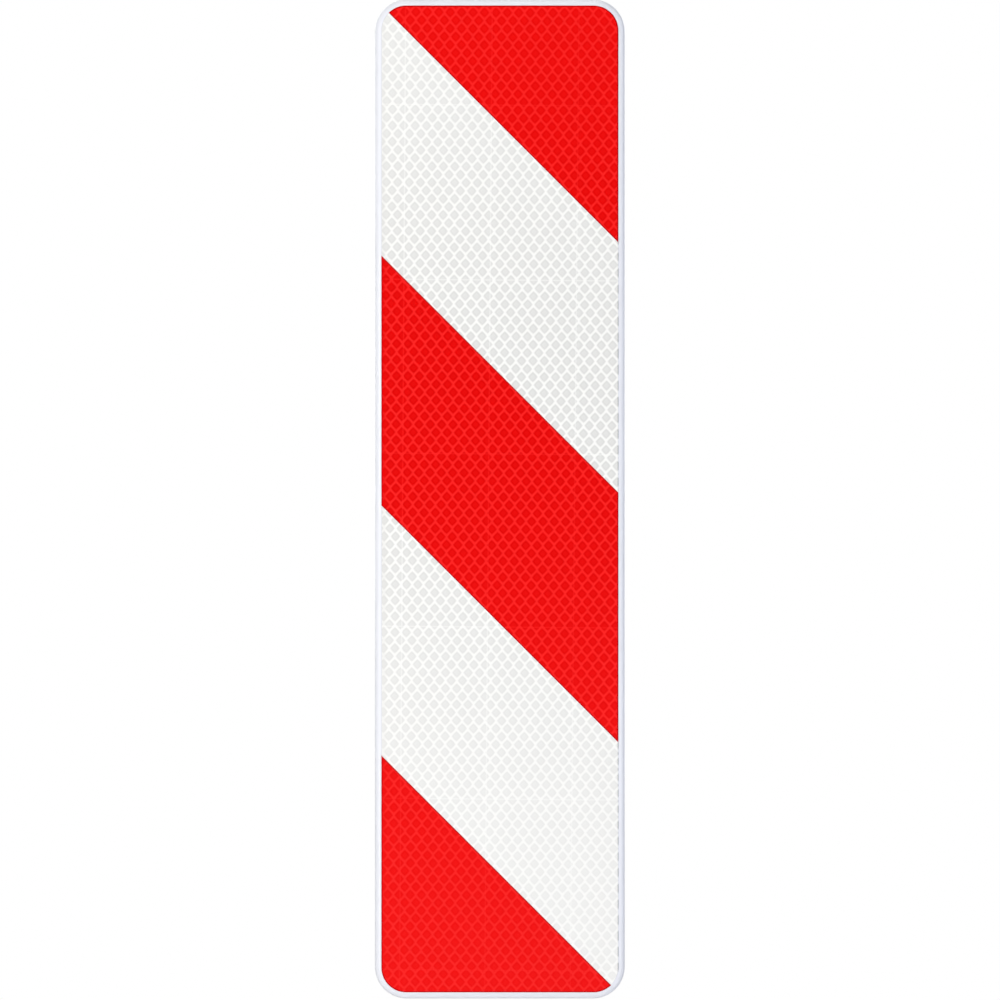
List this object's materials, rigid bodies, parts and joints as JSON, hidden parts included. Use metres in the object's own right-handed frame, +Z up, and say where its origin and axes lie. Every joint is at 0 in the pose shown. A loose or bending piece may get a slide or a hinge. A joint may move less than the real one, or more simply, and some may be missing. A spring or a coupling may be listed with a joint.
{
  "type": "guide beacon",
  "caption": "Upright rounded panel with diagonal red and white reflective stripes, and rear rails whose sliding clips clamp it to a round post.",
  "frame": {"origin": "on the post's axis, at the middle of the lower post clip", "axes": "+Z up along the post, -Y out of the striped face, +X to the right of a viewer facing the stripes"},
  "size_m": [0.25, 0.0821, 1],
  "materials": {
    "white_coat": "satin",
    "white_sheeting": "gloss",
    "red_film": "gloss",
    "mill_aluminium": "satin",
    "foam_tape": "matte",
    "zinc_steel": "satin",
    "stainless_steel": "satin"
  },
  "bodies": {
    "panel": {"panel_tray": "white_coat", "reflective_sheet": "white_sheeting", "red_stripe_top": "red_film", "red_stripe_middle": "red_film", "red_stripe_bottom": "red_film", "lower_rail": "mill_aluminium", "lower_rail_tape": "foam_tape", "upper_rail": "mill_aluminium", "upper_rail_tape": "foam_tape"},
    "lower_clip": {"lower_strap": "zinc_steel", "lower_bolt_left": "stainless_steel", "lower_washer_left": "stainless_steel", "lower_nut_left": "stainless_steel", "lower_bolt_right": "stainless_steel", "lower_washer_right": "stainless_steel", "lower_nut_right": "stainless_steel"},
    "upper_clip": {"upper_strap": "zinc_steel", "upper_bolt_left": "stainless_steel", "upper_washer_left": "stainless_steel", "upper_nut_left": "stainless_steel", "upper_bolt_right": "stainless_steel", "upper_washer_right": "stainless_steel", "upper_nut_right": "stainless_steel"}
  },
  "joints": [
    {"name": "lower_clip_slide", "type": "slide", "parent": "panel", "child": "lower_clip", "axis": [1, 0, 0], "range_m": [-0.05, 0.05]},
    {"name": "upper_clip_slide", "type": "slide", "parent": "panel", "child": "upper_clip", "axis": [1, 0, 0], "range_m": [-0.05, 0.05]}
  ]
}
